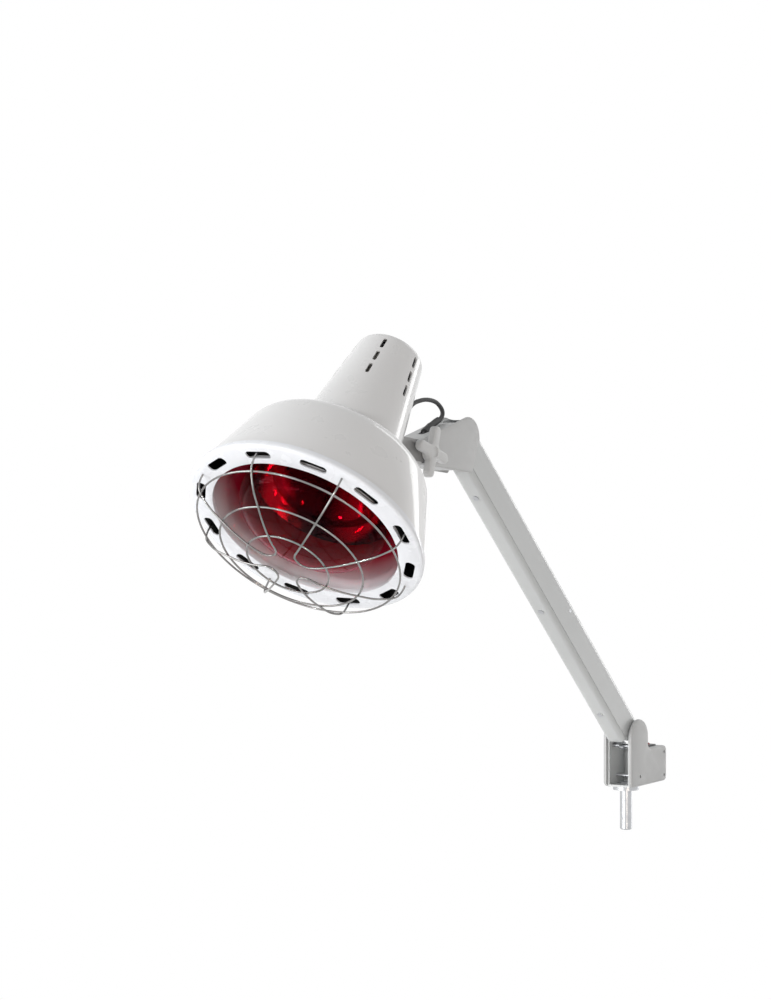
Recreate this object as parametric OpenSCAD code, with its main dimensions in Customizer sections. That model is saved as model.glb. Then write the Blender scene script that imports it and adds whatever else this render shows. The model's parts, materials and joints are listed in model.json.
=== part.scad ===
// Infrared heat therapy lamp on a balanced swing arm.
// Frame: origin at the spigot's shoulder, +Z up, the arm leans toward -Y, +X is the knob's side.

/* [Base] */
// Radius of the spigot that drops into a stand, wall plate or clamp
spigot_r = 6; // [4:0.5:10]
// Length of the spigot below its shoulder
spigot_len = 40; // [25:1:70]
// Radius of the spigot's shoulder
shoulder_r = 13; // [11:0.5:15]
// Thickness of the spigot's shoulder
shoulder_t = 4; // [2:0.5:8]
// Height of the arm's lower pivot above the shoulder's seat
pivot_h = 52; // [46:1:80]
// Thickness of the base frame's steel
frame_t = 2; // [1.5:0.1:3]
// Width of the base housing across X
base_w = 32; // [30:1:44]
// Length of the rear switch box
box_len = 44; // [40:1:70]
// Height of the rear switch box
box_h = 36; // [33:1:40]
// Wall of the base covers
cover_wall = 2; // [1.5:0.1:3]

/* [Arm] */
// Distance between the arm's two pivots
arm_len = 440; // [300:5:700]
// Slope of the arm above the horizontal at rest
arm_slope = 41.7; // [35:0.1:50]
// Height of the arm's section
arm_h = 34; // [32:0.5:44]
// Width of the arm's section
arm_w = 20; // [19:0.5:24]
// Wall of the arm's channel and underside cover
arm_wall = 1.5; // [1:0.1:1.8]
// Corner radius of the arm's section
arm_corner = 5; // [3:0.5:6]
// Height of the underside cover
tray_h = 4.5; // [3.5:0.5:5.5]
// Running clearance beside parts that swing
swing_gap = 0.3; // [0.2:0.05:0.5]
// Radius of the arm's pivot pins
pin_r = 3; // [2.5:0.1:3.4]
// Radial clearance of running fits
run_fit = 0.05; // [0.02:0.01:0.09]
// Wall of the nylon pivot bushes
bush_wall = 1; // [0.8:0.1:1.2]
// Offset of the tie rod's pins from the arm's pivots
tie_offset = 10; // [9.5:0.5:11]
// Radius of the tie rod's pins
tie_pin_r = 2; // [1.5:0.1:2.2]
// Thickness of the tie rod across X
tie_t = 4; // [2:0.5:5]
// Height of the tie rod
tie_h = 6; // [4:0.5:6.5]
// Outer radius of a balance spring
spring_r = 3.2; // [2.5:0.1:3.4]
// Length of the balance springs between their pins
spring_len = 190; // [120:5:230]

/* [Knuckle] */
// Reach from the arm's top pivot to the head's tilt pivot
knuckle_reach = 75; // [66:1:95]
// Drop from the arm's top pivot to the head's tilt pivot
knuckle_drop = 13.5; // [8:0.5:15]
// Radius of the knuckle cover's rear lobe
lobe_r = 18.5; // [18:0.5:24]
// Radius of the knuckle's nose
nose_r = 11; // [10:0.5:13]
// Wall of the moulded knuckle cover
knuckle_wall = 1.3; // [1:0.1:2]
// Thickness of the knuckle frame's steel
knuckle_t = 1.2; // [1:0.1:1.6]
// Radius of the tilt bolt
bolt_r = 4; // [3:0.1:5]
// Thickness of a friction washer
washer_t = 1.5; // [1:0.1:2]
// Radius of a friction washer
washer_r = 9; // [8:0.1:9.5]
// Length of the tilt knob's lobes from its axis
knob_reach = 22.5; // [18:0.5:28]
// Width of a knob lobe
knob_lobe = 9; // [7:0.5:11]
// Thickness of the knob
knob_t = 9; // [8:0.5:14]

/* [Head] */
// Angle of the head's axis above the horizontal at rest
head_pitch = 49; // [35:1:60]
// Height of the tilt pivot above the head's rim, along the head's axis
tilt_h = 150; // [140:1:165]
// Distance of the tilt pivot behind the head's axis
tilt_e = 76; // [72:1:90]
// Outer radius of the head's rim
rim_r = 100; // [95:1:115]
// Radius of the opening in the vent ring
mouth_r = 79; // [74:1:82]
// Height of the bell from its rim to its flat top
bell_h = 77.2; // [74:0.1:90]
// Radius of the bell where its shoulder starts
shoulder_bell_r = 80.8; // [78:0.1:86]
// Radius of the bell's rounded shoulder
bell_round = 22; // [15:1:24]
// Sheet thickness of the bell
bell_t = 1.2; // [0.8:0.1:1.6]
// Radius of the neck at its foot
neck_foot_r = 45.6; // [45:0.1:52]
// Radius of the neck at its top
neck_top_r = 28.6; // [27:0.1:34]
// Height of the neck's top above the rim
neck_top_h = 190.5; // [184:0.5:205]
// Wall of the neck
neck_t = 1.5; // [1:0.1:2]
// Number of slots in the vent ring
ring_slots = 12; // [6:1:16]
// Length of a vent ring slot
slot_len = 22; // [12:1:26]
// Width of a vent ring slot
slot_w = 8; // [5:0.5:10]
// Number of rows of neck vents
vent_rows = 6; // [3:1:8]
// Number of vents in a row
vents_in_row = 3; // [1:1:3]
// Width of a neck vent
vent_w = 3.2; // [2:0.1:5]
// Length of a neck vent
vent_len = 12; // [8:0.5:13]
// Radius of the guard's wire
wire_r = 0.9; // [0.8:0.05:1.5]
// Number of looped petal wires in the guard
petals = 4; // [3:1:6]

/* [Bulb] */
// Largest radius of the bulb
bulb_r = 62.5; // [58:0.5:64]
// Height of the dome's apex, along the head's axis
bulb_apex = -14; // [-18:1:-8]
// Wall of the bulb's glass
glass_t = 1.2; // [0.8:0.1:1.5]
// Radius of the bulb's screw cap
cap_r = 13.2; // [12.9:0.1:13.5]
// Outer radius of the ceramic socket
socket_r = 23; // [20:0.5:24]

/* [Lead] */
// Radius of the electric lead
lead_r = 1.9; // [1.8:0.1:2.4]

/* [Hidden] */
$fn = 64;

// Seats and pivots
arm_dir = [0, -cos(arm_slope), sin(arm_slope)];
arm_up = [0, sin(arm_slope), cos(arm_slope)];
base_pivot = [0, 0, pivot_h];
top_pivot = base_pivot + arm_len * arm_dir;
tilt_pivot = top_pivot + [0, -knuckle_reach, -knuckle_drop];

// Widths across X, from the arm outward
arm_in = arm_w / 2 - arm_wall;
frame_in = arm_w / 2 + swing_gap;
frame_out = frame_in + frame_t;
knuckle_out = frame_in + knuckle_t;
cover_in = knuckle_out + 0.2;
cover_out = cover_in + knuckle_wall;
washer_in = knuckle_out + 0.1;
fork_in = max(washer_in + washer_t, cover_out) + 0.1;
fork_t = 2;
fork_out = fork_in + fork_t;
knob_in = fork_out + 0.3;

// Bearings of the arm and the tie rod
bush_r = pin_r + run_fit + bush_wall;
ear_r = bush_r + 2.25;
trim_len = 12;
tray_gap = 0.4;
tray_start = 16;
spring_pin_r = 1.5;
spring_pin_offset = 12;
spring_x = spring_r + 1;
anchor_z = 9;

// Base housing
frame_foot = shoulder_t + frame_t;
frame_front = 16;
panel_in = frame_out + 0.2;
lobe_base_r = 19;
box_y0 = frame_front + 0.3;
box_y1 = box_y0 + box_len;
box_z1 = shoulder_t + box_h;
switch_y = box_y0 + 22;
switch_half_y = 10.5;
switch_half_x = 7.5;
well_half_x = 5;
rocker_r = 7;
rocker_tilt = 7;
rocker_z = box_z1 - 2;
screw_r = 1.5;
screw_head_r = 3;
screw_sink = 1.8;
boss_r = 4.6;
base_screw_at = [[0, shoulder_t + 10], [box_y1 - 6, box_z1 - 6], [box_y1 - 6, shoulder_t + 6]];
gland_z = shoulder_t + box_h / 2;

// Head
ring_t = 1.2;
ring_face = -2;
ring_skirt_h = 4.6;
rim_in_r = rim_r - 2.1;
skirt_in_r = rim_in_r + 0.2;
shoulder_c = [shoulder_bell_r - bell_round, bell_h - bell_round];
neck_slope = (neck_foot_r - neck_top_r) / (neck_top_h - bell_h);
neck_angle = atan(neck_slope);
neck_round = 6;
bell_hole_r = neck_foot_r - 3;
// Where the cone leaves the shoulder's round, so that the two run on smoothly
bell_chord = [rim_in_r, ring_skirt_h] - shoulder_c;
bell_lean = atan2(bell_chord[1], bell_chord[0]) + acos(bell_round / norm(bell_chord));
slot_mid_r = 89;
slot_first = 2.5;
vent_first = 23;
vent_below_top = [45.9, 29.8, 13.5];
vent_mid = [for (d = vent_below_top) neck_top_h - d];
reflector_t = 1;
socket_len = 44;
socket_below_top = 18.5;
socket_h = [neck_top_h - socket_below_top - socket_len, neck_top_h - socket_below_top];
cap_len = 21;
cap_rise = 11;
cap_h = [socket_h[0] + cap_rise, socket_h[0] + cap_rise + cap_len];
grommet_h = tilt_h;
grommet_r = 4.6;
bracket_low = [tilt_e - 36, tilt_h - 26];
bracket_low_r = 9;
fork_r = nose_r - 2;
web_h = [bracket_low[1] - 14, bracket_low[1] + 9];

// Guard rings as [radius, height]
guard_rings = [[86.3, -16], [60.7, -29.8], [34.7, -37.1]];
petal_half = 22.5;
petal_turn = 24.3;
petal_low = -39.5;

// The lead's route from the neck to the knuckle, as [y, z] from the tilt pivot
lead_route = [[-37, 32], [-30, 26], [-26, 23], [-20, 23], [-12.5, 29], [2.5, 40.5], [16, 44.5], [28, 45.5], [40, 44],
    [48, 40], [51.5, 35.5], [49.5, 31], [41, 27.2], [31, 22.6], [24, 18.5], [19.5, 13.5], [20, 8],
    [26, 4], [38, 3], [50, 3]];

// ---- helpers ----

// Two round ends joined by their tangents
module link2d(p, r, q, s) {
    a = atan2(q[1] - p[1], q[0] - p[0]);
    b = acos((r - s) / norm(q - p));
    translate(p) circle(r);
    translate(q) circle(s);
    polygon([
        p + r * [cos(a + b), sin(a + b)], q + s * [cos(a + b), sin(a + b)],
        q + s * [cos(a - b), sin(a - b)], p + r * [cos(a - b), sin(a - b)]
    ]);
}

// A flat shape in the YZ plane, thick from x0 to x1
module plate(x0, x1) {
    translate([x0, 0, 0]) rotate([90, 0, 90]) linear_extrude(x1 - x0) children();
}

// The same plate on both sides of the YZ plane
module plate_pair(x0, x1) {
    plate(x0, x1) children();
    plate(-x1, -x0) children();
}

// A round bar along X, centred at [y, z]
module bar_x(p, r, x0, x1) {
    translate([x0, p[0], p[1]]) rotate([0, 90, 0]) cylinder(r = r, h = x1 - x0);
}

// Local frames
module in_head() {
    translate(tilt_pivot) rotate([head_pitch - 90, 0, 0]) translate([0, -tilt_e, -tilt_h]) children();
}
module in_arm() {
    translate(base_pivot) rotate([-arm_slope, 0, 0]) children();
}
module in_knuckle() {
    translate(top_pivot) children();
}

// A tube swept along 3-D points that never run along up
function cross_ring(p, t, up, r, sides) =
    let (side = cross(t, up) / norm(cross(t, up)), rise = cross(side, t))
    [for (k = [0:sides - 1]) p + r * (cos(360 * k / sides) * side + sin(360 * k / sides) * rise)];
function heading(pts, i) =
    let (a = pts[max(i - 1, 0)], b = pts[min(i + 1, len(pts) - 1)]) (b - a) / norm(b - a);
module sweep(pts, up, r, sides) {
    n = len(pts);
    rings = [for (i = [0:n - 1]) each cross_ring(pts[i], heading(pts, i), up, r, sides)];
    faces = concat(
        [[for (k = [sides - 1:-1:0]) k]],
        [for (i = [0:n - 2], k = [0:sides - 1])
            let (a = i * sides + k, b = i * sides + (k + 1) % sides)
            each [[a, b, a + sides], [b, b + sides, a + sides]]],
        [[for (k = [0:sides - 1]) (n - 1) * sides + k]]
    );
    polyhedron(rings, faces);
}

// Points along a smooth curve through a route
function smooth_at(p, i, f) =
    let (
        a = p[max(i - 1, 0)], b = p[i], c = p[i + 1], d = p[min(i + 2, len(p) - 1)]
    )
    0.5 * (2 * b + (c - a) * f + (2 * a - 5 * b + 4 * c - d) * f * f + (3 * b - a - 3 * c + d) * f * f * f);
function smooth(p, steps) =
    concat([for (i = [0:len(p) - 2], k = [0:steps - 1]) smooth_at(p, i, k / steps)], [p[len(p) - 1]]);

// ---- head ----

function neck_r_at(h) = neck_foot_r - neck_slope * (h - bell_h);
function arc2d(c, r, a0, a1, n) =
    [for (i = [0:n]) let (a = a0 + (a1 - a0) * i / n) c + r * [cos(a), sin(a)]];

module shade_bell() color("gainsboro") in_head() rotate_extrude($fn = 180) polygon(concat(
    [[rim_in_r, 0.3], [rim_in_r, ring_skirt_h]],
    arc2d(shoulder_c, bell_round, bell_lean, 90, 10),
    [[bell_hole_r, bell_h], [bell_hole_r, bell_h - bell_t]],
    arc2d(shoulder_c, bell_round - bell_t, 90, bell_lean, 10),
    [[rim_in_r - bell_t, ring_skirt_h], [rim_in_r - bell_t, 0.3]]
));

module neck_profile() polygon(concat(
    [[neck_foot_r, bell_h]],
    arc2d([neck_top_r - neck_round + 0.6, neck_top_h - neck_round], neck_round, 0, 90, 6),
    [[0, neck_top_h], [0, neck_top_h - neck_t]],
    arc2d([neck_top_r - neck_round + 0.6, neck_top_h - neck_round], neck_round - neck_t, 90, 0, 6),
    [[neck_foot_r - neck_t, bell_h + neck_t], [bell_hole_r - 0.2 - neck_t, bell_h + neck_t],
        [bell_hole_r - 0.2 - neck_t, bell_h - 3], [bell_hole_r - 0.2, bell_h - 3], [bell_hole_r - 0.2, bell_h]]
));

module shade_neck() color("gainsboro") in_head() difference() {
    rotate_extrude($fn = 120) neck_profile();
    for (row = [0:vent_rows - 1], i = [0:vents_in_row - 1])
        rotate([0, 0, vent_first + row * 360 / vent_rows - 90])
            translate([neck_r_at(vent_mid[i]) - 8, 0, vent_mid[i]]) rotate([0, 90 - neck_angle, 0])
                linear_extrude(14) link2d([-(vent_len - vent_w) / 2, 0], vent_w / 2,
                    [(vent_len - vent_w) / 2, 0], vent_w / 2);
    at_grommet() translate([0, 0, -neck_t - 4]) cylinder(r = grommet_r - 1, h = neck_t + 8);
    for (h = screw_h) translate([0, neck_r_at(h) - 5, h]) rotate([-90, 0, 0]) cylinder(r = screw_r, h = 10);
}

module vent_ring() color("whitesmoke") in_head() difference() {
    rotate_extrude($fn = 180) polygon([
        [mouth_r, ring_face], [rim_r - 2.5, ring_face], [rim_r - 0.8, ring_face + 0.6], [rim_r, 0],
        [rim_r - 0.6, ring_skirt_h - 0.2], [skirt_in_r, ring_skirt_h], [skirt_in_r, ring_face + ring_t],
        [mouth_r + ring_t, ring_face + ring_t], [mouth_r + ring_t, -ring_face], [mouth_r, -ring_face]
    ]);
    for (k = [0:ring_slots - 1]) rotate([0, 0, slot_first + k * 360 / ring_slots - 90])
        translate([slot_mid_r, 0, ring_face - 1]) linear_extrude(ring_t + 2)
            link2d([0, -(slot_len - slot_w) / 2], slot_w / 2, [0, (slot_len - slot_w) / 2], slot_w / 2);
}

// Bowl of the reflector as [radius, height]
reflector_bowl = [[mouth_r + 1.4, 3], [mouth_r + 0.5, 25], [mouth_r - 3, 42], [mouth_r - 9, 56],
    [mouth_r - 17, 66], [mouth_r - 25, 72]];
module reflector() color("white") in_head() rotate_extrude($fn = 120) polygon(concat(
    [[mouth_r, -ring_face], [mouth_r + 4, -ring_face], [mouth_r + 4, -ring_face + reflector_t]],
    [for (p = reflector_bowl) p + [reflector_t, 0.4]],
    [for (i = [len(reflector_bowl) - 1:-1:0]) reflector_bowl[i] - [0, 0.4]],
    [[mouth_r, -ring_face + reflector_t]]
));

function polar(r, a, h) = [r * sin(a), -r * cos(a), h];
function petal_leg(a, tip) = [polar(91.4, a, tip), polar(91.2, a, -8), polar(89.5, a, -14),
    polar(85, a, -19.1), polar(74, a, -26.1), polar(60.7, a, -31.3), polar(48, a, -35.5),
    polar(34.7, a, -38.6), polar(27, a, petal_low)];
function petal_path(mid) =
    let (
        turn_r = petal_turn * sin(petal_half),
        out = petal_leg(mid + petal_half, ring_face + ring_t + 2),
        back = petal_leg(mid - petal_half, ring_face - 0.15)
    )
    concat(
        back,
        [for (k = [0:8]) let (a = mid - 90 - petal_half - (k / 8) * (180 - 2 * petal_half))
            polar(petal_turn, mid, petal_low) + polar(turn_r, a, 0)],
        [for (i = [len(out) - 1:-1:0]) out[i]]
    );
module wire_guard() color("lightgray") in_head() {
    for (g = guard_rings) rotate_extrude($fn = 96) translate(g) circle(wire_r, $fn = 16);
    for (k = [0:petals - 1]) sweep(petal_path(-20 + k * 360 / petals), [0, 0, 1], wire_r, 8);
}

// Outside of the bulb's glass as [radius, height], from the neck to the apex
bulb_neck_r = 18;
bulb_low = 38;
bulb_rise = (cap_h[0] - bulb_low) / 101;
bulb_side = [for (p = [[bulb_neck_r, 101], [18.3, 88], [19.3, 78], [22, 66], [28, 54], [36, 39], [48, 26],
    [57, 14], [61.5, 0]]) [p[0], bulb_low + p[1] * bulb_rise]];
filament_h = cap_h[0] - 69;
filament_r = 9;
bulb_dome = [[62.5, 22], [62, 14], [59.5, 6], [55.5, 0], [49, -5], [37, -10], [19, -13]];
function bulb_line(k) = [for (p = bulb_side) [p[0] - k, p[1]]];
function dome_line(k) = [for (p = bulb_dome) [max(p[0] * bulb_r / 62.5 - k, 0),
    p[1] + (bulb_apex + 14) * (1 - p[1] / 40) + k * (22 - p[1]) / 36]];
module bulb_glass() color("darkred") in_head() rotate_extrude($fn = 96) polygon(concat(
    bulb_line(0), dome_line(0), [[0, bulb_apex], [0, bulb_apex + glass_t]],
    reverse(dome_line(glass_t)), reverse(bulb_line(glass_t))
));
function reverse(v) = [for (i = [len(v) - 1:-1:0]) v[i]];

module bulb_stem() color("lightblue") in_head() difference() {
    union() {
        translate([0, 0, cap_h[0] - 43]) cylinder(r1 = 3, r2 = 5, h = 24);
        translate([0, 0, cap_h[0] - 19]) cylinder(r1 = 5, r2 = bulb_neck_r - glass_t - 0.02, h = 19);
        for (x = [-1, 1]) translate([x * filament_r, 0, filament_h]) rotate([0, -x * 13, 0])
            cylinder(r = 0.6, h = 32);
    }
    translate([0, 0, cap_h[0] - 31]) cylinder(r = 1, h = 40);
}
module bulb_filament() color("silver") in_head() translate([0, 0, filament_h - 1])
    rotate([0, 0, -150]) rotate_extrude(angle = 300, $fn = 48)
        translate([filament_r, 0]) circle(0.8, $fn = 16);

module bulb_cap() color("goldenrod") in_head() {
    translate([0, 0, cap_h[0]]) cylinder(r = cap_r, h = cap_h[1] - cap_h[0]);
    translate([0, 0, cap_h[1]]) cylinder(r1 = cap_r - 1, r2 = 5, h = 4);
    translate([0, 0, cap_h[1] + 4]) cylinder(r = 4.5, h = 2);
}

module lamp_socket() color("ivory") in_head() difference() {
    translate([0, 0, socket_h[0]]) cylinder(r = socket_r, h = socket_h[1] - socket_h[0]);
    translate([0, 0, socket_h[0] - 1]) cylinder(r = 19.5, h = 12);
    translate([0, 0, socket_h[0]]) cylinder(r = cap_r + 1.4, h = cap_h[1] - socket_h[0] + 7.5);
    for (x = [-1, 1]) translate([x * 17.5, 0, socket_h[1] - 8]) cylinder(r = screw_r, h = 9);
}
module socket_shell() color("gold") in_head() translate([0, 0, cap_h[0] + 1]) difference() {
    cylinder(r = cap_r + 1.4, h = cap_h[1] - cap_h[0] - 2);
    translate([0, 0, -1]) cylinder(r = cap_r + 0.3, h = cap_h[1]);
}
module socket_contact() color("orange") in_head()
    translate([0, 0, cap_h[1] + 6]) cylinder(r = 6, h = 1.5);
module socket_bracket() color("silver") in_head() difference() {
    union() {
        translate([0, 0, socket_h[1]]) cylinder(r = socket_r, h = 1.5);
        for (y = [-1, 1]) translate([-5, y * 17 - 1, socket_h[1]])
            cube([10, 2, neck_top_h - neck_t - socket_h[1]]);
    }
    for (x = [-1, 1]) translate([x * 17.5, 0, socket_h[1] - 1]) cylinder(r = screw_r + 0.2, h = 5);
    translate([0, 0, socket_h[1] - 1]) cylinder(r = 8, h = 4);
}
module socket_screws() color("gray") in_head() for (x = [-1, 1]) translate([x * 17.5, 0, 0]) {
    translate([0, 0, socket_h[1] - 7]) cylinder(r = screw_r - 0.05, h = 8.5);
    translate([0, 0, socket_h[1] + 1.5]) cylinder(r = screw_head_r, h = 2);
}
module at_grommet() {
    translate([0, neck_r_at(grommet_h), grommet_h]) rotate([neck_angle - 90, 0, 0]) children();
}
module neck_grommet() color("dimgray") in_head() difference() {
    at_grommet() {
        translate([0, 0, -neck_t - 1.8]) cylinder(r = grommet_r, h = 1.3);
        translate([0, 0, -neck_t - 1.8]) cylinder(r = grommet_r - 1.1, h = neck_t + 3);
        translate([0, 0, 0.1]) cylinder(r1 = grommet_r, r2 = grommet_r - 1, h = 2.2);
    }
    translate([0, neck_r_at(grommet_h) - 8, grommet_h]) rotate([-90, 0, 0])
        cylinder(r = lead_r + 0.5, h = 16);
}

// Heights of the two screws that hold the head bracket
screw_h = [bracket_low[1] - 10, bracket_low[1] + 5];
module head_bracket() color("darkgray") in_head() difference() {
    union() {
        plate_pair(fork_in, fork_out) link2d(bracket_low, bracket_low_r, [tilt_e, tilt_h], fork_r);
        translate([-fork_out, bracket_low[0] - 8, web_h[0]]) cube([2 * fork_out, 10, web_h[1] - web_h[0]]);
    }
    translate([0, 0, bell_h]) cylinder(r1 = neck_foot_r, r2 = neck_top_r, h = neck_top_h - bell_h, $fn = 120);
    bar_x([tilt_e, tilt_h], bolt_r + 0.1, -fork_out - 1, fork_out + 1);
    for (h = screw_h) translate([0, neck_r_at(h) - 4, h]) rotate([-90, 0, 0]) cylinder(r = screw_r, h = 40);
}
module bracket_screws() color("gray") in_head() for (h = screw_h) {
    translate([0, neck_r_at(h) - 4, h]) rotate([-90, 0, 0]) cylinder(r = screw_r - 0.05,
        h = bracket_low[0] + 3 - neck_r_at(h) + 4);
    translate([0, bracket_low[0] + 2, h]) rotate([-90, 0, 0]) cylinder(r = screw_head_r + 0.5, h = 2.2);
}
module tilt_bolt() color("silver") in_head() {
    bar_x([tilt_e, tilt_h], bolt_r, -fork_out, knob_in + knob_t - 3);
    bar_x([tilt_e, tilt_h], bolt_r + 3, -fork_out - 3, -fork_out);
}
module friction_washers() color("black") in_head() for (x = [washer_in, -washer_in - washer_t])
    difference() {
        bar_x([tilt_e, tilt_h], washer_r, x, x + washer_t);
        bar_x([tilt_e, tilt_h], bolt_r + 0.1, x - 1, x + washer_t + 1);
    }
knob_turn = 24;
knob_valley = 4.5;
lobe_at = knob_reach - knob_lobe / 2;
valley_at = knob_lobe / 2 + knob_valley;
knob_hub_r = valley_at * sqrt(2) - knob_valley - 0.4;
module tilt_knob() color("silver") in_head() translate([0, tilt_e, tilt_h]) difference() {
    union() {
        rotate([knob_turn, 0, 0]) plate(knob_in + knob_step, knob_in + knob_t)
            polygon([for (k = [0:3]) for (p = concat(
                arc2d([lobe_at, 0], knob_lobe / 2, -90, 90, 12),
                arc2d([valley_at, valley_at], knob_valley, 265, 185, 5)))
                [p[0] * cos(90 * k) - p[1] * sin(90 * k), p[0] * sin(90 * k) + p[1] * cos(90 * k)]]);
        bar_x([0, 0], knob_hub_r, knob_in, knob_in + knob_step + 1);
    }
    bar_x([0, 0], insert_r + 0.05, knob_in - 1, knob_in + knob_t - knob_face);
}
insert_r = bolt_r + 2;
knob_step = 2;
knob_face = 2;
module knob_insert() color("gold") in_head() difference() {
    bar_x([tilt_e, tilt_h], insert_r, knob_in, knob_in + knob_t - knob_face - 0.1);
    bar_x([tilt_e, tilt_h], bolt_r + run_fit, knob_in - 1, knob_in + knob_t);
}

// ---- lead and knuckle ----

lead_line = [for (p = smooth(lead_route, 3)) [0, p[0], p[1]]];
module lead_part(first, last, r) translate(tilt_pivot)
    sweep([for (i = [first:last]) lead_line[i]], [1, 0, 0], r, 8);
module head_lead() color("dimgray") lead_part(0, len(lead_line) - 1, lead_r);

tilt_at = [-knuckle_reach, -knuckle_drop];
tie_at = -tie_offset * [sin(arm_slope), cos(arm_slope)];
cheek_corner = [3, -27];
bush_at = tilt_at + [25.5, 19.3];
bush_aim = 32;
web_t = 2;
// The web stops short of the arm's round end, so the two cheeks stand free beside it
web_end = -arm_h / 2 - 5;
slope_angle = atan2(knuckle_drop, knuckle_reach) + acos((nose_r - lobe_r) / norm(tilt_at));
module knuckle_outline() polygon(concat(
    arc2d([0, 0], lobe_r, slope_angle, -6, 30),
    arc2d(cheek_corner, 3.5, -20, -94, 6),
    arc2d(tilt_at + [22, -8.5], 4, -94, -94.5, 1),
    arc2d(tilt_at, nose_r, -94.5, slope_angle - 360, 30)
));
module knuckle_hollow() {
    link2d(tilt_at, nose_r - web_t, [0, 0], lobe_r - web_t);
    translate([web_end, -50]) square([80, 80]);
}
module lead_hole(r) {
    translate([0, bush_at[0], bush_at[1]]) rotate([bush_aim, 0, 0]) rotate([90, 0, 0])
        translate([0, 0, -16]) cylinder(r = r, h = 27);
}
module knuckle_cover() color("silver") in_knuckle() difference() {
    plate(-cover_out, cover_out) knuckle_outline();
    plate(-cover_in, cover_in) knuckle_hollow();
    bar_x(tilt_at, washer_r + 0.5, -cover_out - 1, cover_out + 1);
    lead_hole(lead_r + 1.9);
}
module knuckle_frame() color("gray") in_knuckle() difference() {
    union() {
        plate_pair(frame_in, knuckle_out) {
            link2d(tilt_at, nose_r - 2.5, [0, 0], 12);
            link2d([0, 0], 12, tie_at, 8);
        }
        bar_x(tilt_at, nose_r - 2.5, -knuckle_out, knuckle_out);
        translate([-knuckle_out, tilt_at[0] + 5, tilt_at[1] - 6.5]) cube([2 * knuckle_out, 14, 2]);
    }
    bar_x(tilt_at, bolt_r + run_fit, -20, 20);
    bar_x([0, 0], pin_r + 0.02, -20, 20);
    bar_x(tie_at, tie_pin_r + 0.02, -20, 20);
}
// A bush in the web, drawn out into a boot that follows the lead
module lead_bush() color("dimgray") difference() {
    union() {
        in_knuckle() translate([0, bush_at[0], bush_at[1]]) rotate([bush_aim + 90, 0, 0])
            translate([0, 0, -7]) cylinder(r1 = lead_r + 1.3, r2 = lead_r + 1.8, h = 11);
        lead_part(35, 41, lead_r + 1.1);
    }
    lead_part(33, 47, lead_r + 0.3);
}
module arm_top_pin() color("silver") in_knuckle() bar_x([0, 0], pin_r, -knuckle_out, knuckle_out);
module tie_top_pin() color("silver") in_knuckle() bar_x(tie_at, tie_pin_r, -knuckle_out, knuckle_out);

// ---- arm ----

module arm_section(w, h, r) {
    for (x = [-1, 1]) translate([x * (w / 2 - r), h / 2 - r]) circle(r);
    for (x = [-1, 1]) translate([x * (w / 2 - r), -h / 2 + r]) circle(r);
    square([w - 2 * r, h], center = true);
    square([w, h - 2 * r], center = true);
}
module along_arm(y0, y1) {
    translate([0, y1, 0]) rotate([90, 0, 0]) linear_extrude(y1 - y0) children();
}
tray_top = -arm_h / 2 + tray_h;
module arm_channel() color("silver") in_arm() difference() {
    intersection() {
        along_arm(-arm_len - arm_h, arm_h) difference() {
            arm_section(arm_w, arm_h, arm_corner);
            arm_section(arm_w - 2 * arm_wall, arm_h - 2 * arm_wall, arm_corner - arm_wall);
            translate([0, tray_top + tray_gap - 25]) square([60, 50], center = true);
        }
        plate(-arm_w, arm_w) {
            translate([-arm_len, 0]) circle(arm_h / 2);
            translate([-arm_len, -arm_h]) square([arm_len - trim_len, 2 * arm_h]);
            translate([-trim_len - 1, -ear_r]) square([trim_len + 1, 2 * ear_r]);
            circle(ear_r);
        }
    }
    translate([-arm_w, -arm_len - arm_h, -arm_h]) cube([2 * arm_w, arm_h + 10, arm_h - ear_r]);
    bar_x([0, 0], bush_r, -arm_w, arm_w);
    bar_x([-arm_len, 0], bush_r, -arm_w, arm_w);
    bar_x([-spring_len, anchor_z], 2, -arm_w, arm_w);
}
tray_screw_y = [-60, -arm_len / 2, -arm_len + 60];
module arm_cover() color("gainsboro") in_arm() difference() {
    along_arm(-arm_len + tray_start, -tray_start) intersection() {
        difference() {
            arm_section(arm_w, arm_h, arm_corner);
            arm_section(arm_w - 2 * arm_wall, arm_h - 2 * arm_wall, arm_corner - arm_wall);
        }
        translate([0, tray_top - 25]) square([60, 50], center = true);
    }
    for (y = tray_screw_y) translate([0, y, -arm_h / 2 - 1]) cylinder(r = screw_r, h = 4);
}
module cover_screws() color("gray") in_arm() for (y = tray_screw_y) translate([0, y, -arm_h / 2 - 0.8]) {
    cylinder(r = screw_r + 1.2, h = 0.8);
    cylinder(r = screw_r - 0.05, h = 2.3 + 0.8);
}
module arm_bushes() color("white") in_arm() for (y = [0, -arm_len], x = [arm_in, -arm_w / 2 - 0.15])
    difference() {
        bar_x([y, 0], bush_r, x, x + arm_wall + 0.15);
        bar_x([y, 0], pin_r + run_fit, x - 1, x + arm_wall + 1);
    }
module spring_anchor() color("gray") in_arm() bar_x([-spring_len, anchor_z], 2, -arm_w / 2, arm_w / 2);

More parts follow.
